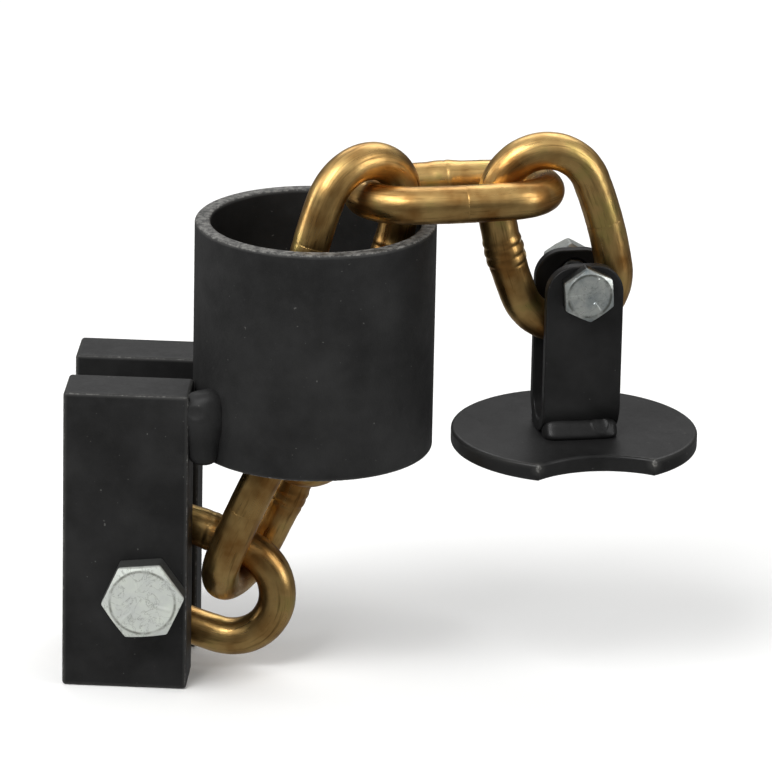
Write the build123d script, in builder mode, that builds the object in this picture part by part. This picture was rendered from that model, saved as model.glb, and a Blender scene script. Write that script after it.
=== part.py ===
from build123d import *

import os
from math import atan2, cos, degrees, radians, sin, sqrt, tan

# Door chain guard. Millimetres, +Z up.
# Origin: on the guard tube's axis, at its lower rim. The jaw bars stand on the -X side of the
# tube, the slot between them runs along X, and the jaw bolt lies along Y.

# Guard tube: 2.5 inch heavy-wall tube
tube_diameter = 63.5
tube_wall = 4.2
tube_length = 61.7
tube_rim_round = 1.0

# Jaw bars: 5/8 inch flat bar, one each side of the slot
bar_thickness = 15.88
bar_width = 33.0
bar_length = 81.7
bar_edge_round = 1.0
bar_top_above_tube_foot = 19.4
slot_width = 15.5
bar_to_tube_gap = 0.05

# Jaw bolt: 1/2 inch hex bolt with a lock nut
jaw_bolt_diameter = 12.7
jaw_bolt_across_flats = 19.05
jaw_bolt_head_height = 7.9
jaw_bolt_length = 63.5
jaw_bolt_above_bar_foot = 26.9
jaw_bolt_from_bar_face = 11.1
jaw_bolt_head_turn = 6.0
jaw_nut_height = 14.0
jaw_nut_collar_height = 4.0
jaw_nut_turn = 0.0
bolt_hole_clearance = 0.3

# Chain: 3/8 inch transport chain, welded oval links
wire_diameter = 10.0
link_inner_length = 38.5
link_inner_width = 17.6
crown_inner_radius = 8.2
flash_height = 0.35
flash_width = 5.0

# Where each link lies: its centre, its turns about fixed X, then Y, then Z axes, and the
# side of the link that its weld is on. A link with no turns stands upright in the XZ plane.
link_places = [
    ((-31.7, -1.8, -37.7), (-3.0, 108.5, -11.0), -1),
    ((-11.7, -4.5, -15.9), (22.0, 8.0, 70.0), 1),
    ((1.0, -8.1, 19.7), (-6.0, 14.0, -38.0), 1),
    ((9.8, -7.9, 56.7), (6.0, 13.5, 42.5), 1),
    ((35.9, 3.3, 69.7), (89.5, 3.5, 104.5), 1),
    ((62.5, 7.1, 57.1), (0.0, -16.0, 14.0), -1),
]

# Cap: a notched plate disc with a strap bent in a U on it
cap_centre = (69.0, 8.7)
cap_turn = 14.0
disc_top_height = 4.1
disc_diameter = 65.4
disc_thickness = 4.6
disc_edge_round = 0.9
notch_chord = 31.0
notch_depth = 5.5
strap_width = 20.6
strap_thickness = 3.2
strap_gap = 11.2
strap_height = 47.5
strap_corner_radius = 7.6
strap_edge_round = 0.5

# Clevis bolt: 5/16 inch hex bolt with a lock nut
clevis_bolt_diameter = 7.94
clevis_bolt_across_flats = 12.7
clevis_bolt_head_height = 5.3
clevis_bolt_length = 28.6
clevis_bolt_below_strap_top = 6.6
clevis_bolt_head_turn = 34.5
clevis_nut_height = 8.7
clevis_nut_collar_height = 2.4
clevis_nut_turn = 30.0

# Bolts and lock nuts
head_corner_angle = 30.0
head_flat_share = 0.97
collar_share = 0.93
insert_share = 0.8
bolt_tip_chamfer = 0.8
thread_clearance = 0.02
insert_wall = 1.6
insert_clearance = 0.03

# Welds
tube_weld_inset = 1.2
tube_weld_bulge = 0.8
clevis_weld_height = 5.4
clevis_weld_overhang = 0.6
clevis_weld_end_inset = 0.5
clevis_weld_root = 2.0
clevis_weld_lip = 0.1
clevis_weld_crest = (0.9, 0.6)

# Places worked out from the sizes above
tube_radius = tube_diameter / 2
bar_face_x = -sqrt(tube_radius**2 - (slot_width / 2) ** 2) - bar_to_tube_gap
bar_foot_z = bar_top_above_tube_foot - bar_length
bar_outer_y = slot_width / 2 + bar_thickness
jaw_bolt_x = bar_face_x - jaw_bolt_from_bar_face
jaw_bolt_z = bar_foot_z + jaw_bolt_above_bar_foot

wire_radius = wire_diameter / 2
link_half_width = link_inner_width / 2 + wire_radius
link_half_length = link_inner_length / 2 + wire_radius
crown_radius = crown_inner_radius + wire_radius
crown_offset = link_half_length - crown_radius

strap_outer_radius = strap_gap / 2 + strap_thickness
clevis_bolt_height = strap_height - clevis_bolt_below_strap_top
across = (cos(radians(cap_turn)), sin(radians(cap_turn)), 0)
through = (-sin(radians(cap_turn)), cos(radians(cap_turn)), 0)
cap_plane = Plane(origin=(*cap_centre, disc_top_height), x_dir=across, z_dir=(0, 0, 1))
side_plane = Plane(origin=cap_plane.origin, x_dir=through, z_dir=across)


def finish(part, name):
    part.label = name
    export_step(part, f"parts/{name}.step")


def rounded_hex_profile(seat, across_flats, height):
    """The half outline that a hexagon is turned to, so that its outer corners are cut back."""
    corner_radius = across_flats / sqrt(3)
    flat_radius = across_flats / 2 * head_flat_share
    drop = (corner_radius - flat_radius) * tan(radians(head_corner_angle))
    with BuildSketch(Plane(origin=seat.origin, x_dir=seat.x_dir, z_dir=-seat.y_dir)) as profile:
        Polygon(
            (0, 0),
            (corner_radius, 0),
            (corner_radius, height - drop),
            (flat_radius, height),
            (0, height),
            align=None,
        )
    return profile.sketch


def hex_bolt(seat, diameter, length, across_flats, head_height, turn):
    """A hex bolt: seat is the plane under its head, facing away from the shank."""
    profile = rounded_hex_profile(seat, across_flats, head_height)
    with BuildPart() as bolt:
        with BuildSketch(seat):
            RegularPolygon(across_flats / 2, 6, major_radius=False, rotation=turn)
        extrude(amount=head_height)
        revolve(profile, axis=Axis(seat.origin, seat.z_dir), mode=Mode.INTERSECT)
        with BuildSketch(seat):
            Circle(diameter / 2)
        extrude(amount=-length)
        tip = bolt.edges().filter_by(GeomType.CIRCLE).sort_by(Axis(seat.origin, seat.z_dir))[0]
        chamfer(tip, length=bolt_tip_chamfer)
    return bolt.part


def lock_nut(seat, diameter, across_flats, height, collar_height, turn):
    """A lock nut standing on seat, with a round collar round its nylon ring."""
    hex_height = height - collar_height
    profile = rounded_hex_profile(seat, across_flats, hex_height)
    ring_radius = diameter / 2 + insert_wall
    with BuildPart() as nut:
        with BuildSketch(seat):
            RegularPolygon(across_flats / 2, 6, major_radius=False, rotation=turn)
        extrude(amount=hex_height)
        revolve(profile, axis=Axis(seat.origin, seat.z_dir), mode=Mode.INTERSECT)
        with BuildSketch(seat.offset(hex_height)):
            Circle(across_flats / 2 * collar_share)
        extrude(amount=collar_height)
        with BuildSketch(seat):
            Circle(diameter / 2 + thread_clearance)
        extrude(amount=height, mode=Mode.SUBTRACT)
        with BuildSketch(seat.offset(hex_height)):
            Circle(ring_radius + insert_clearance)
        extrude(amount=collar_height, mode=Mode.SUBTRACT)
    return nut.part


def nut_insert(seat, diameter, height, collar_height):
    """The nylon ring in a lock nut's collar."""
    with BuildPart() as ring:
        with BuildSketch(seat.offset(height - collar_height + insert_clearance)):
            Circle(diameter / 2 + insert_wall)
            Circle(diameter / 2 + thread_clearance, mode=Mode.SUBTRACT)
        extrude(amount=collar_height * insert_share)
    return ring.part


def jaw_bar(side):
    """One cheek of the jaw: side is -1 for the front bar and 1 for the rear bar."""
    middle_x = bar_face_x - bar_width / 2
    middle_y = side * (slot_width + bar_thickness) / 2
    with BuildPart() as bar:
        with BuildSketch(Plane.XY.offset(bar_foot_z)):
            with Locations((middle_x, middle_y)):
                Rectangle(bar_width, bar_thickness)
        extrude(amount=bar_length)
        fillet(bar.edges(), radius=bar_edge_round)
        with BuildSketch(Plane.XZ.offset(-middle_y)):
            with Locations((jaw_bolt_x, jaw_bolt_z)):
                Circle(jaw_bolt_diameter / 2 + bolt_hole_clearance)
        extrude(amount=bar_thickness, both=True, mode=Mode.SUBTRACT)
    return bar.part


def guard_tube():
    with BuildPart() as tube:
        with BuildSketch():
            Circle(tube_radius)
            Circle(tube_radius - tube_wall, mode=Mode.SUBTRACT)
        extrude(amount=tube_length)
        fillet(tube.edges().filter_by(GeomType.CIRCLE), radius=tube_rim_round)
    return tube.part


def tube_weld(side):
    """The fillet weld that fills the corner between a bar's face and the tube."""
    inner_y = side * (slot_width / 2 + tube_weld_inset)
    outer_y = side * (bar_outer_y - tube_weld_inset)
    toe_x = -sqrt(tube_radius**2 - outer_y**2)
    bulge = ((bar_face_x + toe_x) / 2, outer_y + side * tube_weld_bulge)
    with BuildPart() as weld:
        with BuildSketch():
            with BuildLine():
                Polyline(
                    (toe_x, outer_y),
                    (toe_x, inner_y),
                    (bar_face_x, inner_y),
                    (bar_face_x, outer_y),
                )
                ThreePointArc((bar_face_x, outer_y), bulge, (toe_x, outer_y))
            make_face()
            Circle(tube_radius, mode=Mode.SUBTRACT)
        extrude(amount=bar_top_above_tube_foot)
    return weld.part


def chain_link(centre, turns, weld_side):
    """A welded oval link: four arcs that meet smoothly, with a ring of flash at its weld."""
    upright = Plane(Location(centre, turns, Extrinsic.XYZ))
    flat = Plane(origin=upright.origin, x_dir=upright.x_dir, z_dir=-upright.y_dir)
    leg_rise = link_half_width**2 + crown_offset**2 - crown_radius**2
    leg_radius = leg_rise / (2 * (link_half_width - crown_radius))
    leg_reach = leg_radius - link_half_width
    leg_angle = degrees(atan2(crown_offset, leg_reach))
    weld_point = flat.from_local_coords((weld_side * link_half_width, 0, 0))
    with BuildPart() as link:
        with BuildLine(flat) as route:
            CenterArc((-leg_reach, 0), leg_radius, -leg_angle, 2 * leg_angle)
            CenterArc((0, crown_offset), crown_radius, leg_angle, 180 - 2 * leg_angle)
            CenterArc((leg_reach, 0), leg_radius, 180 - leg_angle, 2 * leg_angle)
            CenterArc((0, -crown_offset), crown_radius, 180 + leg_angle, 180 - 2 * leg_angle)
        with BuildSketch(Plane(origin=route.line @ 0, z_dir=route.line % 0)):
            Circle(wire_radius)
        sweep()
        with BuildSketch(Plane(origin=weld_point, z_dir=flat.y_dir)):
            Circle(wire_radius + flash_height)
        extrude(amount=flash_width / 2, both=True)
    return link.part


def cap_disc():
    notch_radius = ((notch_chord / 2) ** 2 + notch_depth**2) / (2 * notch_depth)
    chord_reach = sqrt((disc_diameter / 2) ** 2 - (notch_chord / 2) ** 2)
    with BuildPart() as disc:
        with BuildSketch(cap_plane):
            Circle(disc_diameter / 2)
            with Locations((0, notch_depth - chord_reach - notch_radius)):
                Circle(notch_radius, mode=Mode.SUBTRACT)
        extrude(amount=-disc_thickness)
        faces = disc.faces().filter_by(Axis.Z)
        fillet(faces.edges(), radius=disc_edge_round)
    return disc.part


def clevis_strap():
    """The strap: a U in the side plane, standing on its bend, with rounded ears."""
    leg_length = strap_height - strap_outer_radius
    with BuildPart() as strap:
        with BuildSketch(side_plane):
            for radius, mode in ((strap_outer_radius, Mode.ADD), (strap_gap / 2, Mode.SUBTRACT)):
                with Locations((0, strap_outer_radius)):
                    Circle(radius, mode=mode)
                with Locations((0, strap_outer_radius + leg_length / 2)):
                    Rectangle(2 * radius, leg_length, mode=mode)
        extrude(amount=strap_width / 2, both=True)
        corners = strap.edges().filter_by(Axis((0, 0, 0), through)).group_by(Axis.Z)[-1]
        fillet(corners, radius=strap_corner_radius)
        with BuildSketch(Plane(origin=cap_plane.origin, x_dir=across, z_dir=through)):
            with Locations((0, -clevis_bolt_height)):
                Circle(clevis_bolt_diameter / 2 + bolt_hole_clearance / 2)
        extrude(amount=strap_width, both=True, mode=Mode.SUBTRACT)
        fillet(strap.edges(), radius=strap_edge_round)
    return strap.part


def clevis_weld(side):
    """The bead between the strap's bend and the disc: side is -1 in front and 1 behind."""
    toe = strap_outer_radius + clevis_weld_overhang
    crest_inset, crest_rise = clevis_weld_crest
    crest_reach = strap_outer_radius - crest_inset
    with BuildPart() as weld:
        with BuildSketch(side_plane):
            Polygon(
                (side * clevis_weld_root, 0),
                (side * toe, 0),
                (side * (strap_outer_radius + clevis_weld_lip), clevis_weld_height),
                (side * crest_reach, clevis_weld_height + crest_rise),
                align=None,
            )
            with Locations((0, strap_outer_radius)):
                Circle(strap_outer_radius, mode=Mode.SUBTRACT)
        extrude(amount=strap_width / 2 - clevis_weld_end_inset, both=True)
    return weld.part


os.makedirs("parts", exist_ok=True)

for side, end in ((-1, "front"), (1, "rear")):
    finish(jaw_bar(side), f"jaw_bar_{end}")
    finish(tube_weld(side), f"tube_weld_{end}")
    finish(clevis_weld(side), f"clevis_weld_{end}")
finish(guard_tube(), "guard_tube")

jaw_head_seat = Plane(
    origin=(jaw_bolt_x, -bar_outer_y, jaw_bolt_z), x_dir=(1, 0, 0), z_dir=(0, -1, 0)
)
jaw_nut_seat = Plane(
    origin=(jaw_bolt_x, bar_outer_y, jaw_bolt_z), x_dir=(1, 0, 0), z_dir=(0, 1, 0)
)
jaw_bolt = hex_bolt(
    jaw_head_seat,
    jaw_bolt_diameter,
    jaw_bolt_length,
    jaw_bolt_across_flats,
    jaw_bolt_head_height,
    jaw_bolt_head_turn,
)
jaw_nut = lock_nut(
    jaw_nut_seat,
    jaw_bolt_diameter,
    jaw_bolt_across_flats,
    jaw_nut_height,
    jaw_nut_collar_height,
    jaw_nut_turn,
)
jaw_insert = nut_insert(
    jaw_nut_seat, jaw_bolt_diameter, jaw_nut_height, jaw_nut_collar_height
)
finish(jaw_bolt, "jaw_bolt")
finish(jaw_nut, "jaw_nut")
finish(jaw_insert, "jaw_nut_insert")

for number, (centre, turns, weld_side) in enumerate(link_places, start=1):
    finish(chain_link(centre, turns, weld_side), f"chain_link_{number}")

finish(cap_disc(), "cap_disc")
finish(clevis_strap(), "clevis_strap")

clevis_axis = Vector(cap_plane.origin) + Vector(0, 0, clevis_bolt_height)
clevis_head_seat = Plane(
    origin=clevis_axis - Vector(through) * strap_outer_radius,
    x_dir=across,
    z_dir=-Vector(through),
)
clevis_nut_seat = Plane(
    origin=clevis_axis + Vector(through) * strap_outer_radius,
    x_dir=across,
    z_dir=Vector(through),
)
clevis_bolt = hex_bolt(
    clevis_head_seat,
    clevis_bolt_diameter,
    clevis_bolt_length,
    clevis_bolt_across_flats,
    clevis_bolt_head_height,
    clevis_bolt_head_turn,
)
clevis_nut = lock_nut(
    clevis_nut_seat,
    clevis_bolt_diameter,
    clevis_bolt_across_flats,
    clevis_nut_height,
    clevis_nut_collar_height,
    clevis_nut_turn,
)
clevis_insert = nut_insert(
    clevis_nut_seat, clevis_bolt_diameter, clevis_nut_height, clevis_nut_collar_height
)
finish(clevis_bolt, "clevis_bolt")
finish(clevis_nut, "clevis_nut")
finish(clevis_insert, "clevis_nut_insert")
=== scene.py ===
"""Door chain guard: a jaw of two flat bars and a short tube, six chain links and a notched cap."""

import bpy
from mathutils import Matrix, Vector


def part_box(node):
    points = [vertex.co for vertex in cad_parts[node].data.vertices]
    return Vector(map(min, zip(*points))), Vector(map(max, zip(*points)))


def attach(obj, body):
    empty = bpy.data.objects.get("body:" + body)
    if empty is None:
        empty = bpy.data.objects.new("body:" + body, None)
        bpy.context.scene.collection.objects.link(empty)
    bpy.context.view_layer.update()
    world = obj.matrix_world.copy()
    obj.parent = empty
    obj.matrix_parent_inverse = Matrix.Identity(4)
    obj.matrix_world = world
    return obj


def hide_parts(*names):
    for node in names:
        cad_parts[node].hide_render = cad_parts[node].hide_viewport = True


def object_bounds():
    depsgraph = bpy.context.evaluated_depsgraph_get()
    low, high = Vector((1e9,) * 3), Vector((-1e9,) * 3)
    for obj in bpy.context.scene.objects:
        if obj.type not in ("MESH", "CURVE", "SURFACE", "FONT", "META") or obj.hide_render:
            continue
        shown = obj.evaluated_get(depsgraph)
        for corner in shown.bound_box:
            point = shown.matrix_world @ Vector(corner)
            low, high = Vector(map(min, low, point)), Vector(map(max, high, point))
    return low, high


bl_info = {
    "name": "Door Chain Guard",
    "version": (1, 0, 0),
    "blender": (4, 5, 0),
    "location": "View3D > Sidebar > Chain Guard",
    "description": "Finishes the chain guard's packed frame with links, bolts, welds and paint",
    "category": "Add Mesh",
}

from math import atan2, cos, pi, radians, sin, sqrt, tan

import bpy
import numpy as np
from bpy.props import FloatProperty, FloatVectorProperty, PointerProperty
from mathutils import Euler, Matrix, Vector

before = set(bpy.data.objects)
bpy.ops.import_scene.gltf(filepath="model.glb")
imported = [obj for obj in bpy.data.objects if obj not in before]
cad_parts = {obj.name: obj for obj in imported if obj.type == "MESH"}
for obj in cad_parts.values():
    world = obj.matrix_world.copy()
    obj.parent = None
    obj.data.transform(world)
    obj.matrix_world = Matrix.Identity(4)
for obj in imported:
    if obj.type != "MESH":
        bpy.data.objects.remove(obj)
CAD_BOX = [list(corner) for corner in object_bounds()]

MM = 0.001
TUBE_LOW, TUBE_HIGH = (Vector(corner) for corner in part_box("guard_tube"))
BAR_LOW, BAR_HIGH = (Vector(corner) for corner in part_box("jaw_bar_front"))

# Each link's centre in mm, its turns about fixed X, Y and Z in degrees, and its weld's side
LINK_PLACES = [
    ((-31.7, -1.8, -37.7), (-3.0, 108.5, -11.0), -1),
    ((-11.7, -4.5, -15.9), (22.0, 8.0, 70.0), 1),
    ((1.0, -8.1, 19.7), (-6.0, 14.0, -38.0), 1),
    ((9.8, -7.9, 56.7), (6.0, 13.5, 42.5), 1),
    ((35.9, 3.3, 69.7), (89.5, 3.5, 104.5), 1),
    ((62.5, 7.1, 57.1), (0.0, -16.0, 14.0), -1),
]
# How rough each link's weld is, and how many rings of flash it has
LINK_WELDS = [(0.5, 1), (0.9, 2), (0.6, 1), (0.7, 2), (0.6, 1), (1.1, 3)]

# Where the cap, the clevis bolt and the jaw bolt are, in mm, and the disc's size and notch
CAP_CENTRE = Vector((69.0, 8.7, 4.1))
CAP_TURN = radians(14.0)
CAP_ACROSS = Vector((cos(CAP_TURN), sin(CAP_TURN), 0.0))
CAP_THROUGH = Vector((-sin(CAP_TURN), cos(CAP_TURN), 0.0))
CLEVIS_BOLT_HEIGHT = 40.9
STRAP_RADIUS = 8.8
DISC_RADIUS = 32.7
NOTCH_HALF_CHORD = 15.5
JAW_BOLT_CENTRE = Vector((-41.94, 0.0, -35.4))
BAR_OUTER_Y = 23.63

# A hex head's or nut's face and washer face as shares of half its flats, and its chamfer's angle
FACE_SHARE = 0.95
WASHER_SHARE = 0.96
COLLAR_SHARE = 0.925
CHAMFER_ANGLE = radians(27)
NUT_CHAMFER_SLOPE = 0.5
THREAD_DEPTH = 0.56

# The tube welds' corner across and through, half widths, foot and height, in mm
TUBE_WELD_CORNER = (-27.2, 19.9)
TUBE_WELD_HALF_WIDTHS = (6.0, 4.7)
TUBE_WELD_FOOT = -0.2
TUBE_WELD_HEIGHT = 19.9

# The clevis welds' middle out from the strap's centre and above the disc, half widths and length
CLEVIS_WELD_MIDDLE = (6.3, 1.3)
CLEVIS_WELD_HALF_WIDTHS = (3.3, 3.6)
CLEVIS_WELD_LENGTH = 20.0

# Each lamp's name, place, width and depth in metres, and power in watts
LAMPS = [
    ("key", (-0.55, -0.75, 1.15), 0.8, 0.8, 15.5),
    ("side", (1.1, -0.35, 0.5), 0.3, 1.0, 4.5),
    ("back", (0.1, 1.0, 1.0), 1.4, 0.6, 6.5),
    ("left", (-1.2, 0.0, 0.45), 0.3, 1.0, 3.5),
]
LAMP_AIM = Vector((0.02, 0.0, 0.01))

# The camera: turns in radians, then mm, the focal length in pixels and the picture's width
AZIMUTH, ELEVATION, ROLL = radians(3.0), radians(18.58), radians(1.2)
DISTANCE = 1700.0
FOCAL_LENGTH = 6456.7
PICTURE_WIDTH = 772
SHIFT_ACROSS, SHIFT_UP = -71.96, 54.03
TUBE_MIDDLE = Vector((0, 0, 30.83))
SENSOR_WIDTH = 36.0
FLOOR_REACH = 30.0


def srgb(code):
    """A hex colour as linear red, green and blue."""
    values = np.array([int(code[i : i + 2], 16) for i in (0, 2, 4)]) / 255
    linear = np.where(values <= 0.04045, values / 12.92, ((values + 0.055) / 1.055) ** 2.4)
    return tuple(float(v) for v in linear)


# Sizes and colours that a user would change


def length(name, description, value):
    return FloatProperty(name=name, description=description, default=value * MM, unit="LENGTH")


def colour(name, description, code):
    return FloatVectorProperty(
        name=name, description=description, default=srgb(code), subtype="COLOR", min=0, max=1
    )


class ChainGuardSizes(bpy.types.PropertyGroup):
    wire: length("Wire", "Diameter of the chain's wire", 10)
    link_length: length("Link length", "Inside length of a link", 38.5)
    link_width: length("Link width", "Inside width of a link", 17.6)
    crown: length("Crown radius", "Inner radius of a link's ends", 8.2)
    flash: length("Flash", "Height of the flash at a link's weld", 0.35)
    jaw_bolt: length("Jaw bolt", "Diameter of the jaw bolt", 12.7)
    clevis_bolt: length("Clevis bolt", "Diameter of the clevis bolt", 7.94)
    edge_wear: length("Edge wear", "How far paint is rubbed in from a bar's edge", 1.2)
    rim_wear: length("Rim wear", "How far paint is rubbed in from the tube's rims", 1.0)


class ChainGuardColours(bpy.types.PropertyGroup):
    bar: colour("Bar paint", "Satin black on bars and tube", "1b1b1b")
    cap: colour("Cap paint", "Semi-gloss black on the cap", "171717")
    worn: colour("Worn paint", "Grey of rubbed paint", "8a8985")
    gold: colour("Chromate", "Yellow chromate on the chain", "dcb674")
    zinc: colour("Zinc", "Zinc plating on bolts and nuts", "c9cdc8")
    floor: colour("Floor", "Pale floor", "fbfbfa")


# Meshes


def ring_mesh(name, rings, looped=False, sharp=32.0, attributes=None):
    """A closed mesh from rows of points, each row a ring.

    looped joins the last ring to the first. Without it, each end is closed by one point at the
    mean of its ring. attributes are vectors, one for each point of rings.
    """
    rows, columns, _ = rings.shape
    steps = rows if looped else rows - 1
    i, j = np.meshgrid(np.arange(steps), np.arange(columns), indexing="ij")
    after, beside = (i + 1) % rows, (j + 1) % columns
    corners = (i * columns + j, i * columns + beside, after * columns + beside, after * columns + j)
    quads = np.stack(corners, -1).reshape(-1, 4)
    points = rings.reshape(-1, 3)
    triangles = np.empty((0, 3), int)
    if not looped:
        around = np.arange(columns)
        beside = (around + 1) % columns
        last = (rows - 1) * columns
        first_fan = np.stack((np.full(columns, len(points)), beside, around), -1)
        last_fan = np.stack((np.full(columns, len(points) + 1), last + around, last + beside), -1)
        triangles = np.concatenate((first_fan, last_fan))
        points = np.concatenate((points, rings[:1].mean(1), rings[-1:].mean(1)))
    halves = np.concatenate((quads[:, [0, 1, 2]], quads[:, [0, 2, 3]], triangles))
    a, b, c = (points[halves[:, k]] for k in range(3))
    if np.einsum("ij,ij->", a, np.cross(b, c)) < 0:
        quads, triangles = quads[:, ::-1], triangles[:, ::-1]
    mesh = bpy.data.meshes.new(name)
    mesh.from_pydata(points.tolist(), [], quads.tolist() + triangles.tolist())
    for key, values in (attributes or {}).items():
        values = values.reshape(-1, 3)
        spare = len(points) - len(values)
        layer = mesh.attributes.new(key, "FLOAT_VECTOR", "POINT")
        layer.data.foreach_set("vector", np.pad(values, ((0, spare), (0, 0))).ravel())
    mesh.shade_smooth()
    mesh.set_sharp_from_angle(angle=radians(sharp))
    mesh.update()
    piece = bpy.data.objects.new(name, mesh)
    bpy.context.scene.collection.objects.link(piece)
    return piece


def lumps(u, v, seed, waves=9):
    """An uneven field from -1 to 1: a mean of sines whose directions and phases come from seed."""
    random = np.random.default_rng(seed)
    total = 0
    for _ in range(waves):
        a, b = random.normal(size=2)
        total = total + np.sin(a * u + b * v + random.uniform(0, 2 * pi))
    return total / waves * 1.6


def bell(x, width, power=2):
    """1 where x is 0, and 1/e where x is width."""
    return np.exp(-((x / width) ** power))


def crater(far, lip_at, lip, dip, dip_width):
    """A round dip in a raised lip, at a distance far from its middle in mm."""
    return lip * bell(far - lip_at, 0.6) - dip * bell(far, dip_width)


def place(piece, body, material, replaced):
    piece.data.materials.append(material)
    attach(piece, body)
    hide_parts(replaced)


def standing(origin, axis, across):
    """A frame as three columns (across, up, axis) and its origin in mm."""
    w = Vector(axis).normalized()
    u = Vector(across).normalized()
    v = w.cross(u)
    return np.array((u, v, w)), np.array(origin)


def turned_points(spot, radius, angle, height):
    """Points in metres at that radius and angle round a frame's axis, and that height on it."""
    axes, origin = spot
    u, v, w = axes
    flat = radius[..., None] * (np.cos(angle)[..., None] * u + np.sin(angle)[..., None] * v)
    return (origin + flat + height[..., None] * w) * MM


# Chain links


def link_route(sizes, count):
    """An oval of four tangent arcs, evenly stepped along its length.

    Returns, for each step, its middle across and along the link, its outward direction, and the
    length run from the weld side's leg middle. Legs are wide arcs of radius
    (b^2 + k^2 - c^2) / 2(b - c), with b the half width, k the crown's offset and c its radius.
    """
    wire = sizes.wire / MM / 2
    half_width = sizes.link_width / MM / 2 + wire
    half_length = sizes.link_length / MM / 2 + wire
    crown = sizes.crown / MM + wire
    offset = half_length - crown
    leg = (half_width**2 + offset**2 - crown**2) / (2 * (half_width - crown))
    reach = leg - half_width
    swing = atan2(offset, reach)
    arcs = [
        (-reach, 0, leg, 0, swing),
        (0, offset, crown, swing, pi - swing),
        (reach, 0, leg, pi - swing, pi + swing),
        (0, -offset, crown, pi + swing, 2 * pi - swing),
        (-reach, 0, leg, 2 * pi - swing, 2 * pi),
    ]
    x0, z0, r, start, end = (np.array(values) for values in zip(*arcs))
    runs = np.concatenate(([0], np.cumsum(r * (end - start))))
    s = np.arange(count) / count * runs[-1]
    arc = np.searchsorted(runs, s, side="right") - 1
    angle = start[arc] + (s - runs[arc]) / r[arc]
    outward = np.stack((np.cos(angle), np.sin(angle)), -1)
    middle = np.stack((x0[arc], z0[arc]), -1) + r[arc][:, None] * outward
    return middle, outward, s, runs[-1]


def chain_link(number, sizes, material):
    """A link's wire: a circle carried round the oval.

    Its radius is the wire's, plus a swelling of flash and a few uneven rings at the weld, less a
    groove at its middle, plus shallow dents. The attribute "drawn" is each point's place on the
    wire pulled straight.
    """
    centre, turns, side = LINK_PLACES[number - 1]
    rough, ring_count = LINK_WELDS[number - 1]
    middle, outward, s, length = link_route(sizes, 448)
    round_count = 60
    phi = np.arange(round_count) / round_count * 2 * pi
    run = (s + length / 2) % length - length / 2
    run, turn = np.meshgrid(run, phi, indexing="ij")
    flash = sizes.flash / MM
    uneven = lumps(1.6 * np.cos(turn), 1.6 * np.sin(turn) + run * 0.3, number)
    radius = sizes.wire / MM / 2 - 0.05 + flash * 0.8 * bell(run, 3.6, 4)
    for k in range(ring_count):
        at = (k - (ring_count - 1) / 2) * 2.6 + 0.4 * uneven
        radius = radius + 0.13 * rough * (1 + 0.8 * uneven) * bell(run - at - 1.1, 0.7)
        radius = radius - 0.13 * rough * bell(run - at, 0.4)
    away = np.abs(run) - length / 2
    radius = radius - 0.06 * bell(away, 0.35) * (0.6 + 0.4 * uneven)
    radius = radius + 0.035 * lumps(run * 0.8, 2.2 * np.cos(turn - 0.7) * 2, number + 20)
    tilt = Euler([radians(t) for t in turns], "XYZ").to_matrix()
    across, normal, along = (np.array(tilt.col[k]) for k in range(3))
    line = side * middle[:, :1] * across + middle[:, 1:] * along
    out = side * outward[:, :1] * across + outward[:, 1:] * along
    section = np.cos(turn)[..., None] * out[:, None] + np.sin(turn)[..., None] * normal
    points = np.array(centre) + line[:, None] + radius[..., None] * section
    drawn = np.stack((run, 5 * np.cos(turn), 5 * np.sin(turn)), -1) * MM
    link = ring_mesh(f"chain_link_{number}_wire", points * MM, True, 60.0, {"drawn": drawn})
    place(link, f"link_{number}", material, f"chain_link_{number}")


# Bolts and nuts


def hexagon(angle, across_flats, turn):
    """A hexagon's radius at each angle, from the high-power mean of six cosines."""
    sides = turn + np.arange(6) * pi / 3
    cosines = np.clip(np.cos(angle[..., None] - sides), 0, None)
    return across_flats / 2 / (cosines**90).sum(-1) ** (1 / 90)


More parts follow.
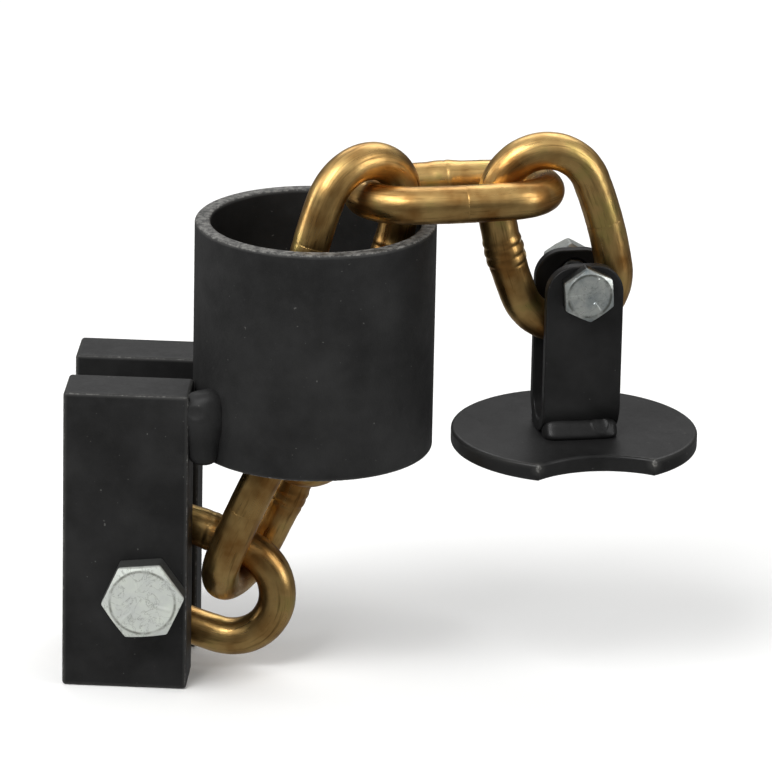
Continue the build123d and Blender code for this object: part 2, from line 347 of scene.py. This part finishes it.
def bolt(name, spot, size, marks):
    """A hex bolt from the middle of its head to its tip, turned about its axis.

    Each ring's radius goes from a circle to the hexagon over the chamfer, back to the washer face
    and to the shank. The thread takes a clipped triangle wave of (height / pitch + angle / 2 pi)
    off the shank. Three radial lines stand on the head.
    """
    columns = 150
    angle = np.arange(columns) / columns * 2 * pi
    flats, head, shank = size["flats"], size["head"], size["shank"] / 2
    edge = hexagon(angle, flats, size["turn"])
    face = flats / 2 * FACE_SHARE
    rows = []
    for radius in np.linspace(0.02, 1, 34) * face:
        line = np.zeros(columns)
        for mark in marks:
            beside = radius * np.sin(angle - mark)
            ahead = radius * np.cos(angle - mark)
            ridge = bell(beside, 0.45, 4) * (ahead > face * 0.38) * (ahead < face * 0.86)
            line = line + 0.16 * ridge
        dish = -0.1 * (1 - (radius / face) ** 6) + 0.05 * lumps(
            radius * np.cos(angle) * 0.9, radius * np.sin(angle) * 0.9, size["seed"]
        )
        rows.append((np.full(columns, radius), head - 0.12 + dish + line))
    slope = tan(CHAMFER_ANGLE)
    for share in np.linspace(0.06, 1, 9):
        radius = face + share * (edge - face)
        rows.append((radius, head - 0.12 - (radius - face) * slope))
    top = rows[-1][1]
    for share in np.linspace(0.04, 1, 12):
        rows.append((edge, top + share * (0.5 - top)))
    rows.append((edge - 0.15, np.full(columns, 0.38)))
    washer = flats / 2 * WASHER_SHARE
    for radius, height in ((washer, 0.38), (washer, 0.0), (shank + 0.4, 0.0), (shank, -0.3)):
        rows.append((np.full(columns, radius), np.full(columns, height)))
    start, tip = size["plain"], size["length"]
    for height in np.linspace(-0.9, -start, 8):
        rows.append((np.full(columns, shank), np.full(columns, height)))
    pitch = size["pitch"]
    for height in np.arange(start, tip - 0.1, pitch / 12):
        wave = np.abs(2 * ((height / pitch + angle / (2 * pi)) % 1) - 1)
        depth = np.clip(wave * 1.35 - 0.18, 0, 1) * THREAD_DEPTH * pitch
        fade = np.clip((height - start) / (1.5 * pitch), 0, 1)
        nose = np.clip((height - tip + 1.2) / 1.2, 0, 1) * 0.75
        cut = np.minimum(shank - depth * fade, shank - nose)
        rows.append((cut, np.full(columns, -height)))
    for share in (0.97, 0.6, 0.2):
        rows.append((np.full(columns, (shank - 0.8) * share), np.full(columns, -tip)))
    radius = np.array([row[0] for row in rows])
    height = np.array([row[1] for row in rows])
    angle = np.broadcast_to(angle, radius.shape)
    across, up = radius * np.cos(angle), radius * np.sin(angle)
    head_place = np.stack((across, up, height - head), -1) * MM
    points = turned_points(spot, radius, angle, height)
    return ring_mesh(name, points, sharp=34.0, attributes={"head": head_place})


def lock_nut(name, spot, size):
    """A lock nut as a closed profile turned about its axis.

    It runs from the bore, out under the seat, up the hexagon with both chamfers, over the round
    collar that is rolled in on its ring, and back down the bore.
    """
    columns = 120
    angle = np.arange(columns) / columns * 2 * pi
    flats, height, collar, bore = (size[k] for k in ("flats", "height", "collar", "bore"))
    edge = hexagon(angle, flats, size["turn"])
    face = flats / 2 * FACE_SHARE
    body = height - collar
    ones = np.ones(columns)
    rows = [(bore * ones, 0.5 * ones), ((bore + 0.4) * ones, 0.0 * ones), (face * ones, 0.0 * ones)]
    for share in np.linspace(0.15, 1, 7):
        radius = face + share * (edge - face)
        rows.append((radius, (radius - face) * NUT_CHAMFER_SLOPE))
    low = rows[-1][1]
    top = body - (edge - face) * NUT_CHAMFER_SLOPE
    for share in np.linspace(0.05, 1, 12):
        rows.append((edge, low + share * (top - low)))
    for share in np.linspace(0.15, 1, 7):
        radius = edge + share * (face - edge)
        rows.append((radius, body - (radius - face) * NUT_CHAMFER_SLOPE))
    wide = flats / 2 * COLLAR_SHARE
    rows.append((wide * ones, (body + 0.1) * ones))
    rows.append((wide * ones, (body + 0.35 * collar) * ones))
    roll = collar * 0.62
    for share in np.linspace(0.05, 1, 12):
        bend = share * 0.62 * pi
        level = height - roll + roll * sin(bend)
        rows.append(((wide - roll * (1 - cos(bend))) * ones, level * ones))
    lip, drop = rows[-1]
    rows.append((np.maximum(lip - 0.3, bore + 0.35), drop - 0.35))
    rows.append(((bore + 0.2) * ones, (body + 0.2) * ones))
    rows.append((bore * ones, (body - 0.3) * ones))
    radius = np.array([row[0] for row in rows])
    level = np.array([row[1] for row in rows])
    points = turned_points(spot, radius, np.broadcast_to(angle, radius.shape), level)
    return ring_mesh(name, points, True, 34.0)


def nylon_ring(name, spot, size):
    """A lock nut's ring: a rounded square turned about the axis."""
    angle = np.arange(96) / 96 * 2 * pi
    around = np.arange(32) / 32 * 2 * pi
    power = (np.abs(np.cos(around)) ** 6 + np.abs(np.sin(around)) ** 6) ** (-1 / 6)
    half_wall, half_height = size["ring_wall"] / 2, size["ring_height"] / 2
    radius = size["bore"] + 0.03 + half_wall + half_wall * power * np.cos(around)
    level = size["ring_base"] + half_height + half_height * power * np.sin(around)
    radius = np.broadcast_to(radius[:, None], (32, 96))
    level = np.broadcast_to(level[:, None], (32, 96))
    points = turned_points(spot, radius, np.broadcast_to(angle, radius.shape), level)
    return ring_mesh(name, points, True, 60.0)


def bolt_sizes():
    """The two bolts' and nuts' sizes in mm, their places and their finishes' seeds."""
    sizes = bpy.context.scene.chain_guard_sizes
    jaw, clevis = sizes.jaw_bolt / MM, sizes.clevis_bolt / MM
    pin = CAP_CENTRE + Vector((0, 0, CLEVIS_BOLT_HEIGHT))
    out = Vector((0, 1, 0))
    return {
        "jaw": {
            "shank": jaw, "flats": 19.05, "head": 7.9, "length": 63.5, "plain": 32.0,
            "pitch": 1.954, "turn": radians(36.0), "seed": 4, "marks": (225, 345, 105),
            "head_at": standing(JAW_BOLT_CENTRE - out * BAR_OUTER_Y, -out, (1, 0, 0)),
            "nut_at": standing(JAW_BOLT_CENTRE + out * BAR_OUTER_Y, out, (1, 0, 0)),
            "nut": {
                "flats": 19.05, "height": 14.0, "collar": 4.0, "bore": jaw / 2 + 0.02,
                "turn": radians(30.0), "ring_wall": 1.58, "ring_height": 3.1, "ring_base": 10.05,
            },
        },
        "clevis": {
            "shank": clevis, "flats": 12.7, "head": 5.3, "length": 28.6, "plain": 12.0,
            "pitch": 1.411, "turn": radians(64.5), "seed": 9, "marks": (63, 183, 303),
            "head_at": standing(pin - CAP_THROUGH * STRAP_RADIUS, -CAP_THROUGH, CAP_ACROSS),
            "nut_at": standing(pin + CAP_THROUGH * STRAP_RADIUS, CAP_THROUGH, CAP_ACROSS),
            "nut": {
                "flats": 12.7, "height": 8.7, "collar": 2.4, "bore": clevis / 2 + 0.02,
                "turn": 0.0, "ring_wall": 1.4, "ring_height": 1.8, "ring_base": 6.35,
            },
        },
    }


# Welds


def tube_weld(name, side, seed):
    """A broad lump in the corner of a bar and the tube, an ellipse carried up the corner.

    Its two half widths grow from the foot to the shoulder and shrink to nothing at both ends by a
    high power of the height. Long lumps swell it, and one shallow crater lies near its top.
    """
    rows, columns = 110, 96
    share = np.linspace(0.004, 0.996, rows)
    angle = np.arange(columns) / columns * 2 * pi
    t, a = np.meshgrid(share, angle, indexing="ij")
    ends = (1 - np.abs(2 * t - 1) ** 7) ** 0.42
    shield = 0.7 + 0.3 * np.clip(t / 0.6, 0, 1) ** 1.3
    z = TUBE_WELD_FOOT + TUBE_WELD_HEIGHT * t
    swell = 1 + 0.07 * lumps(z * 0.24, 1.5 * np.cos(a) + 1.1 * np.sin(a), seed)
    swell = swell + 0.018 * lumps(z * 0.9, 4 * np.cos(a) + 4 * np.sin(a), seed + 1)
    swell = swell + crater(np.hypot(z - 15.2, (a - 1.9) * 4.5), 1.9, 0.04, 0.05, 1.3)
    x, y = TUBE_WELD_CORNER
    half_across, half_through = TUBE_WELD_HALF_WIDTHS
    x = x + half_across * ends * shield * swell * np.cos(a)
    y = y + half_through * ends * shield**0.5 * swell * np.sin(a)
    peak = 0.9 * bell(x + 24.5, 3) * t**6
    points = np.stack((x, side * y, z + peak), -1) * MM
    return ring_mesh(name, points, sharp=80.0)


def clevis_weld(name, side, seed):
    """A lumpy bead under the strap's bend, an ellipse carried across the strap.

    It ends in rounded tips, spreads onto the disc in a thin skirt, swells with long lumps, and has
    one swirl with a raised rim on its outer face.
    """
    rows, columns = 110, 84
    share = np.linspace(0.004, 0.996, rows)
    angle = np.arange(columns) / columns * 2 * pi
    t, a = np.meshgrid(share, angle, indexing="ij")
    ends = (1 - np.abs(2 * t - 1) ** 9) ** 0.4
    run = (t - 0.5) * CLEVIS_WELD_LENGTH
    swirl = crater(np.hypot(run - 5.2, (a - 2.4) * 3.6), 2.1, 0.07, 0.06, 1.4)
    swell = 1 + 0.08 * lumps(run * 0.3, 1.8 * np.cos(a) + 1.2 * np.sin(a), seed) + swirl
    skirt = 1 + 0.3 * bell(a - 3.3, 0.4)
    out, z = CLEVIS_WELD_MIDDLE
    half_out, half_high = CLEVIS_WELD_HALF_WIDTHS
    out = out - half_out * ends * swell * skirt * np.cos(a)
    z = z + half_high * ends * swell * np.sin(a)
    flat = run[..., None] * np.array(CAP_ACROSS) + side * out[..., None] * np.array(CAP_THROUGH)
    points = np.array(CAP_CENTRE) + flat + z[..., None] * np.array((0, 0, 1))
    return ring_mesh(name, points * MM, sharp=80.0)


# Finishes


def node(tree, kind, inputs=None, **settings):
    """Adds a node with its settings, and each input's value or link."""
    made = tree.nodes.new(kind)
    for key, value in settings.items():
        setattr(made, key, value)
    for key, value in (inputs or {}).items():
        if isinstance(value, bpy.types.NodeSocket):
            tree.links.new(value, made.inputs[key])
        else:
            made.inputs[key].default_value = value
    return made


def maths(tree, operation, *values):
    return node(tree, "ShaderNodeMath", dict(enumerate(values)), operation=operation).outputs[0]


def vectors(tree, operation, *values):
    """A vector sum's result, which is a number for LENGTH and DISTANCE."""
    made = node(tree, "ShaderNodeVectorMath", dict(enumerate(values)), operation=operation)
    return made.outputs[1 if operation in ("LENGTH", "DISTANCE") else 0]


def ramp(tree, value, low, high, start=0.0, end=1.0):
    """start below low, end above high, and evenly between them."""
    inputs = {0: value, 1: low, 2: high, 3: start, 4: end}
    return node(tree, "ShaderNodeMapRange", inputs).outputs[0]


def height_of(tree, vector):
    return node(tree, "ShaderNodeSeparateXYZ", {0: vector}).outputs[2]


def noise(tree, at, scale, detail, rough=0.5, distortion=0.0):
    inputs = {"Vector": at, "Scale": scale, "Detail": detail}
    inputs |= {"Roughness": rough, "Distortion": distortion}
    return node(tree, "ShaderNodeTexNoise", inputs).outputs[0]


def blend(tree, share, first, second):
    """The colour first at share 0 and second at share 1: each a socket, a code or a colour."""
    ends = []
    for end in (first, second):
        if isinstance(end, str):
            end = srgb(end)
        ends.append(end if isinstance(end, bpy.types.NodeSocket) else (*end, 1))
    inputs = {0: share, 6: ends[0], 7: ends[1]}
    return node(tree, "ShaderNodeMix", inputs, data_type="RGBA").outputs[2]


def bump(tree, shader, height, strength, distance):
    inputs = {"Strength": strength, "Distance": distance * MM, "Height": height}
    made = node(tree, "ShaderNodeBump", inputs)
    tree.links.new(made.outputs[0], shader.inputs["Normal"])


def new_finish(name):
    material = bpy.data.materials.new(name)
    material.use_nodes = True
    tree = material.node_tree
    tree.nodes.clear()
    shader = node(tree, "ShaderNodeBsdfPrincipled")
    node(tree, "ShaderNodeOutputMaterial", {"Surface": shader.outputs["BSDF"]})
    return material, tree, shader


def box_edge_wear(tree, at, low, high, width):
    """1 on a box's edges and 0 from width in: the middle one of the three depths from its faces.

    The box is mirrored in Y, so one box stands for both bars.
    """
    centre = (low + high) / 2
    half = (high - low) / 2
    folded = vectors(tree, "MULTIPLY", at, (1, 0, 1))
    away = vectors(tree, "ABSOLUTE", vectors(tree, "MULTIPLY", at, (0, 1, 0)))
    spot = vectors(tree, "ADD", folded, away)
    spot = vectors(tree, "SUBTRACT", spot, (centre.x, abs(centre.y), centre.z))
    spot = vectors(tree, "SUBTRACT", vectors(tree, "ABSOLUTE", spot), half)
    x, y, z = node(tree, "ShaderNodeSeparateXYZ", {0: spot}).outputs
    least = maths(tree, "MINIMUM", x, y)
    most = maths(tree, "MINIMUM", maths(tree, "MAXIMUM", x, y), z)
    return ramp(tree, maths(tree, "MAXIMUM", least, most), -width, -0.2 * MM)


def rim_wear(tree, at, low, high, width):
    """1 on the lower and upper rims and 0 from width in."""
    height = height_of(tree, at)
    upper = ramp(tree, height, high - width, high - 0.25 * MM)
    lower = ramp(tree, height, low + width, low + 0.25 * MM)
    return maths(tree, "MAXIMUM", upper, lower)


def notch_wear_and_rim_highlight(tree, at):
    """1 at the two worn corners of the cap disc's notch, and half on the rim of its upper face, a
    painted highlight along its rounded edge.
    """
    flat = vectors(tree, "MULTIPLY", at, (1, 1, 0))
    away = vectors(tree, "DISTANCE", flat, (CAP_CENTRE.x * MM, CAP_CENTRE.y * MM, 0))
    # The rim of the upper face gets half the mask as a painted highlight along the disc's rounded
    # edge
    rim = ramp(tree, away, (DISC_RADIUS - 1.0) * MM, (DISC_RADIUS - 0.4) * MM)
    top = ramp(tree, height_of(tree, at), 2.6 * MM, 3.6 * MM)
    mask = maths(tree, "MULTIPLY", maths(tree, "MULTIPLY", rim, top), 0.5)
    reach = sqrt(DISC_RADIUS**2 - NOTCH_HALF_CHORD**2)
    for side in (-1, 1):
        corner = CAP_CENTRE + CAP_ACROSS * side * NOTCH_HALF_CHORD - CAP_THROUGH * reach
        far = vectors(tree, "DISTANCE", at, (corner.x * MM, corner.y * MM, 3.2 * MM))
        mask = maths(tree, "MAXIMUM", mask, ramp(tree, far, 2.8 * MM, 0.6 * MM))
    return mask


def enamel(name, colour, rough, grit, wear=None):
    """Black enamel, brushed or sprayed on steel.

    Cloudy patches lighten it a little, fine grit in the paint makes it satin, dust nibs show as
    pale specks, and bare grey shows through in broken patches where edges are rubbed. On the cap
    disc, the grey along the rim of the upper face is a painted highlight instead.
    """
    worn = tuple(bpy.context.scene.chain_guard_colours.worn)
    material, tree, shader = new_finish(name)
    at = node(tree, "ShaderNodeTexCoord").outputs["Object"]
    # Clouds about 20 mm across, patches 4 mm, nibs 1 mm, grit 0.7 mm and worn spots 1.6 mm
    cloud = noise(tree, at, 50, 4, 0.6)
    patch = noise(tree, at, 260, 6, 0.7)
    peel = noise(tree, at, 1400, 3, 0.6)
    nib = noise(tree, at, 900, 1)
    pale = tuple(min(1, v * 2.1 + 0.002) for v in colour)
    paint = blend(tree, ramp(tree, cloud, 0.35, 0.75), colour, pale)
    paint = blend(tree, ramp(tree, patch, 0.56, 0.8, 0, 0.5), paint, pale)
    paint = blend(tree, ramp(tree, nib, 0.765, 0.82, 0, 0.28), paint, worn)
    if wear is not None:
        # On the cap disc this mask also paints a highlight along the rim of the upper face
        edge = wear(tree, at)
        broken = noise(tree, at, 620, 5, 0.75)
        gate = maths(tree, "MULTIPLY", broken, edge)
        paint = blend(tree, ramp(tree, gate, 0.42, 0.62, 0, 0.75), paint, worn)
        paint = blend(tree, maths(tree, "MULTIPLY", edge, 0.1), paint, worn)
    tree.links.new(paint, shader.inputs["Base Color"])
    dull = ramp(tree, patch, 0.3, 0.75, rough - 0.05, rough + 0.1)
    tree.links.new(dull, shader.inputs["Roughness"])
    height = maths(tree, "ADD", peel, maths(tree, "MULTIPLY", patch, 0.8))
    bump(tree, shader, height, grit, 0.12)
    shader.inputs["Specular IOR Level"].default_value = 0.22
    return material


def chromate(name):
    """Yellow chromate over zinc on drawn wire: a warm gold metal, clouded and drawn out in streaks.

    The streaks run along the wire. Bronze and paler yellow tints come and go with the film's
    thickness, and dark pits are scattered over it.
    """
    gold = tuple(bpy.context.scene.chain_guard_colours.gold)
    material, tree, shader = new_finish(name)
    at = node(tree, "ShaderNodeTexCoord").outputs["Object"]
    wire = node(tree, "ShaderNodeAttribute", attribute_name="drawn").outputs["Vector"]
    drawn = node(tree, "ShaderNodeMapping", {"Vector": wire, "Scale": (0.09, 1, 1)}).outputs[0]
    # Streaks about 1 mm wide and 12 mm long, tints 9 mm across, dents 3 mm wide, pits 0.7 mm
    streak = noise(tree, drawn, 900, 5, 0.6)
    tint = noise(tree, at, 110, 3)
    dent = noise(tree, drawn, 380, 3, 0.55)
    pit = noise(tree, at, 1500, 4, 0.7)
    film = blend(tree, ramp(tree, tint, 0.42, 0.68), gold, "a87a42")
    film = blend(tree, ramp(tree, tint, 0.42, 0.3), film, "cdb46c")
    film = blend(tree, ramp(tree, streak, 0.54, 0.7, 0, 0.6), film, "5c4320")
    film = blend(tree, ramp(tree, pit, 0.68, 0.76, 0, 0.6), film, "3c2a16")
    tree.links.new(film, shader.inputs["Base Color"])
    shader.inputs["Metallic"].default_value = 1.0
    dull = ramp(tree, streak, 0.3, 0.7, 0.24, 0.46)
    tree.links.new(dull, shader.inputs["Roughness"])
    height = maths(tree, "ADD", dent, maths(tree, "MULTIPLY", pit, 0.25))
    bump(tree, shader, height, 0.42, 0.25)
    return material


def head_dirt(tree, cloud, plating, bare):
    """Dirt in the circle of radius bare turned on a head's face, and paint crept up its sides."""
    own = node(tree, "ShaderNodeAttribute", attribute_name="head").outputs["Vector"]
    away = vectors(tree, "LENGTH", vectors(tree, "MULTIPLY", own, (1, 1, 0)))
    away = maths(tree, "ABSOLUTE", maths(tree, "SUBTRACT", away, bare))
    ring = ramp(tree, away, 0.5 * MM, 0.1 * MM)
    gate = ramp(tree, cloud, 0.38, 0.55, 0, 0.75)
    plating = blend(tree, maths(tree, "MULTIPLY", ring, gate), plating, "54544a")
    crept = ramp(tree, height_of(tree, own), -1.5 * MM, -2.3 * MM, 0, 0.94)
    return blend(tree, crept, plating, "1a1a1a")


def zinc(name, stain, metal, rough, bare=None):
    """Zinc plating on a forged bolt: pale metal, dulled by chalky oxide and stained in thin lines.

    bare is for bolt heads only, and None for nuts.
    """
    pale = tuple(bpy.context.scene.chain_guard_colours.zinc)
    material, tree, shader = new_finish(name)
    at = node(tree, "ShaderNodeTexCoord").outputs["Object"]
    # Chalky clouds about 5 mm across, stain lines 0.3 mm wide, grain 0.6 mm
    cloud = noise(tree, at, 190, 5, 0.65)
    veins = noise(tree, at, 230, 6, 0.6, 1.2)
    grain = noise(tree, at, 1700, 4, 0.7)
    plating = blend(tree, ramp(tree, cloud, 0.4, 0.7), pale, stain)
    line = maths(tree, "ABSOLUTE", maths(tree, "SUBTRACT", veins, 0.5))
    plating = blend(tree, ramp(tree, line, 0.016, 0.0, 0, 0.55), plating, "5d5f56")
    if bare is not None:
        plating = head_dirt(tree, cloud, plating, bare)
    tree.links.new(plating, shader.inputs["Base Color"])
    shader.inputs["Metallic"].default_value = metal
    dull = ramp(tree, cloud, 0.3, 0.7, rough - 0.08, rough + 0.12)
    tree.links.new(dull, shader.inputs["Roughness"])
    height = maths(tree, "ADD", line, maths(tree, "MULTIPLY", grain, 0.5))
    bump(tree, shader, height, 0.3, 0.15)
    return material


def nylon(name):
    """Moulded nylon: mottled blue with a waxy shine."""
    material, tree, shader = new_finish(name)
    at = node(tree, "ShaderNodeTexCoord").outputs["Object"]
    cloud = noise(tree, at, 700, 3)
    tree.links.new(blend(tree, cloud, "24569f", "3a70b8"), shader.inputs["Base Color"])
    shader.inputs["Roughness"].default_value = 0.42
    bump(tree, shader, cloud, 0.15, 0.05)
    return material


def paint_node(name, material):
    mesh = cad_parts[name].data
    mesh.materials.clear()
    mesh.materials.append(material)


# Operators


class ChainGuardBars(bpy.types.Operator):
    """Paint the two jaw bars satin black with rubbed edges"""

    bl_idname = "chain_guard.bars"
    bl_label = "Jaw bars"

    def execute(self, context):
        width = context.scene.chain_guard_sizes.edge_wear
        colour = tuple(context.scene.chain_guard_colours.bar)

        def wear(tree, at):
            return box_edge_wear(tree, at, BAR_LOW, BAR_HIGH, width)

        material = enamel("satin_black_bar", colour, 0.5, 0.3, wear)
        for end in ("front", "rear"):
            paint_node(f"jaw_bar_{end}", material)
        return {"FINISHED"}


class ChainGuardTube(bpy.types.Operator):
    """Paint the guard tube satin black with rubbed rims"""

    bl_idname = "chain_guard.tube"
    bl_label = "Guard tube"

    def execute(self, context):
        width = context.scene.chain_guard_sizes.rim_wear
        colour = tuple(context.scene.chain_guard_colours.bar)

        def wear(tree, at):
            return rim_wear(tree, at, TUBE_LOW.z, TUBE_HIGH.z, width)

        paint_node("guard_tube", enamel("satin_black_tube", colour, 0.52, 0.28, wear))
        return {"FINISHED"}


class ChainGuardCap(bpy.types.Operator):
    """Paint the cap's disc and strap semi-gloss black"""

    bl_idname = "chain_guard.cap"
    bl_label = "Cap disc and strap"

    def execute(self, context):
        colour = tuple(context.scene.chain_guard_colours.cap)
        paint_node("cap_disc", enamel("semi_gloss_disc", colour, 0.36, 0.12, notch_wear_and_rim_highlight))
        paint_node("clevis_strap", enamel("semi_gloss_strap", colour, 0.4, 0.12))
        return {"FINISHED"}


class ChainGuardWelds(bpy.types.Operator):
    """Lay the two beads on the tube and the two beads under the strap"""

    bl_idname = "chain_guard.welds"
    bl_label = "Weld beads"

    def execute(self, context):
        colours = context.scene.chain_guard_colours
        on_tube = enamel("painted_tube_weld", tuple(colours.bar), 0.5, 0.6)
        on_cap = enamel("painted_cap_weld", tuple(colours.cap), 0.34, 0.35)
        for side, end in ((-1, "front"), (1, "rear")):
            bead = tube_weld(f"tube_weld_{end}_bead", side, 31 + side)
            place(bead, "guard", on_tube, f"tube_weld_{end}")
            bead = clevis_weld(f"clevis_weld_{end}_bead", side, 41 + side)
            place(bead, "cap", on_cap, f"clevis_weld_{end}")
        return {"FINISHED"}


class ChainGuardLinks(bpy.types.Operator):
    """Bend and weld the six chain links"""

    bl_idname = "chain_guard.links"
    bl_label = "Chain links"

    def execute(self, context):
        material = chromate("yellow_chromate_wire")
        for number in range(1, len(LINK_PLACES) + 1):
            chain_link(number, context.scene.chain_guard_sizes, material)
        return {"FINISHED"}


class ChainGuardBolts(bpy.types.Operator):
    """Forge and thread the jaw bolt and the clevis bolt"""

    bl_idname = "chain_guard.bolts"
    bl_label = "Hex bolts"

    def execute(self, context):
        finishes = {
            "jaw": ("guard", zinc("chalky_zinc", "d6dbd1", 0.3, 0.5, 8.6 * MM)),
            "clevis": ("cap", zinc("bright_zinc", "8b9497", 0.8, 0.34, 5.7 * MM)),
        }
        for name, size in bolt_sizes().items():
            marks = [radians(v) for v in size["marks"]]
            body, material = finishes[name]
            place(
                bolt(f"{name}_bolt_threaded", size["head_at"], size, marks),
                body, material, f"{name}_bolt",
            )
        return {"FINISHED"}


class ChainGuardNuts(bpy.types.Operator):
    """Turn the two lock nuts and their nylon rings"""

    bl_idname = "chain_guard.nuts"
    bl_label = "Lock nuts"

    def execute(self, context):
        plated = zinc("zinc_nut", "b4bbbb", 0.7, 0.34)
        plastic = nylon("blue_nylon")
        for name, size in bolt_sizes().items():
            body = {"jaw": "guard", "clevis": "cap"}[name]
            nut = lock_nut(f"{name}_nut_collared", size["nut_at"], size["nut"])
            place(nut, body, plated, f"{name}_nut")
            ring = nylon_ring(f"{name}_nut_ring", size["nut_at"], size["nut"])
            place(ring, body, plastic, f"{name}_nut_insert")
        return {"FINISHED"}


class ChainGuardStage(bpy.types.Operator):
    """Set up the pale floor, the soft studio light and the camera"""

    bl_idname = "chain_guard.stage"
    bl_label = "Stage"

    def execute(self, context):
        scene = context.scene
        floor_level = CAD_BOX[0][2] - 0.05 * MM
        mesh = bpy.data.meshes.new("floor")
        reach = FLOOR_REACH
        corners = [(-reach, -reach), (reach, -reach), (reach, reach), (-reach, reach)]
        mesh.from_pydata([(x, y, floor_level) for x, y in corners], [], [(0, 1, 2, 3)])
        floor = bpy.data.objects.new("floor", mesh)
        scene.collection.objects.link(floor)
        material, tree, shader = new_finish("pale_floor")
        shader.inputs["Base Color"].default_value = (*scene.chain_guard_colours.floor, 1)
        shader.inputs["Roughness"].default_value = 0.9
        shader.inputs["Specular IOR Level"].default_value = 0.0
        mesh.materials.append(material)
        floor.visible_glossy = False

        # The studio: dim in front, bright overhead, dark grey below
        world = bpy.data.worlds.new("studio")
        scene.world = world
        world.use_nodes = True
        tree = world.node_tree
        tree.nodes.clear()
        way = node(tree, "ShaderNodeTexCoord").outputs["Generated"]
        height = height_of(tree, way)
        upper = ramp(tree, height, 0.2, 0.85, 0.1, 0.6)
        lower = ramp(tree, height, -0.05, -0.5, 0.0, 0.14)
        strength = maths(tree, "ADD", upper, lower)
        light = node(tree, "ShaderNodeBackground", {"Color": (1, 1, 1, 1), "Strength": strength})
        node(tree, "ShaderNodeOutputWorld", {"Surface": light.outputs[0]})

        for name, spot, width, depth, power in LAMPS:
            lamp = bpy.data.lights.new(name, "AREA")
            lamp.shape = "RECTANGLE"
            lamp.size, lamp.size_y, lamp.energy = width, depth, power
            holder = bpy.data.objects.new(name, lamp)
            holder.location = spot
            aim = LAMP_AIM - Vector(spot)
            holder.rotation_euler = aim.to_track_quat("-Z", "Y").to_euler()
            scene.collection.objects.link(holder)

        level = cos(ELEVATION)
        back = Vector((sin(AZIMUTH) * level, -cos(AZIMUTH) * level, sin(ELEVATION)))
        right = Vector((cos(AZIMUTH), sin(AZIMUTH), 0))
        up = back.cross(right)
        side = cos(ROLL) * right + sin(ROLL) * up
        top = -sin(ROLL) * right + cos(ROLL) * up
        offset = (side * SHIFT_ACROSS + top * SHIFT_UP) * (DISTANCE / FOCAL_LENGTH)
        spot = TUBE_MIDDLE - offset + back * DISTANCE
        lens = bpy.data.cameras.new("camera")
        lens.sensor_width = SENSOR_WIDTH
        lens.lens = FOCAL_LENGTH / PICTURE_WIDTH * SENSOR_WIDTH
        lens.clip_end = 100.0
        camera = bpy.data.objects.new("camera", lens)
        pose = Matrix((side, top, back)).transposed().to_4x4()
        pose.translation = spot * MM
        camera.matrix_world = pose
        scene.collection.objects.link(camera)
        scene.camera = camera
        scene.view_settings.view_transform = "Standard"
        return {"FINISHED"}


OPERATORS = (
    ChainGuardBars,
    ChainGuardTube,
    ChainGuardCap,
    ChainGuardWelds,
    ChainGuardLinks,
    ChainGuardBolts,
    ChainGuardNuts,
    ChainGuardStage,
)


class ChainGuardPanel(bpy.types.Panel):
    """Sidebar panel that lists the sizes, the colours and the steps"""

    bl_idname = "VIEW3D_PT_chain_guard"
    bl_label = "Door Chain Guard"
    bl_space_type = "VIEW_3D"
    bl_region_type = "UI"
    bl_category = "Chain Guard"

    def draw(self, context):
        layout = self.layout
        for group in (context.scene.chain_guard_sizes, context.scene.chain_guard_colours):
            box = layout.box()
            for key in group.__annotations__:
                box.prop(group, key)
        for operator in OPERATORS:
            layout.operator(operator.bl_idname)


CLASSES = (ChainGuardSizes, ChainGuardColours, *OPERATORS, ChainGuardPanel)


def register():
    for item in CLASSES:
        bpy.utils.register_class(item)
    bpy.types.Scene.chain_guard_sizes = PointerProperty(type=ChainGuardSizes)
    bpy.types.Scene.chain_guard_colours = PointerProperty(type=ChainGuardColours)


def unregister():
    del bpy.types.Scene.chain_guard_colours
    del bpy.types.Scene.chain_guard_sizes
    for item in reversed(CLASSES):
        bpy.utils.unregister_class(item)


def main():
    register()
    bpy.ops.chain_guard.bars()
    bpy.ops.chain_guard.tube()
    bpy.ops.chain_guard.cap()
    bpy.ops.chain_guard.welds()
    bpy.ops.chain_guard.links()
    bpy.ops.chain_guard.bolts()
    bpy.ops.chain_guard.nuts()
    bpy.ops.chain_guard.stage()


if __name__ == "__main__":
    main()
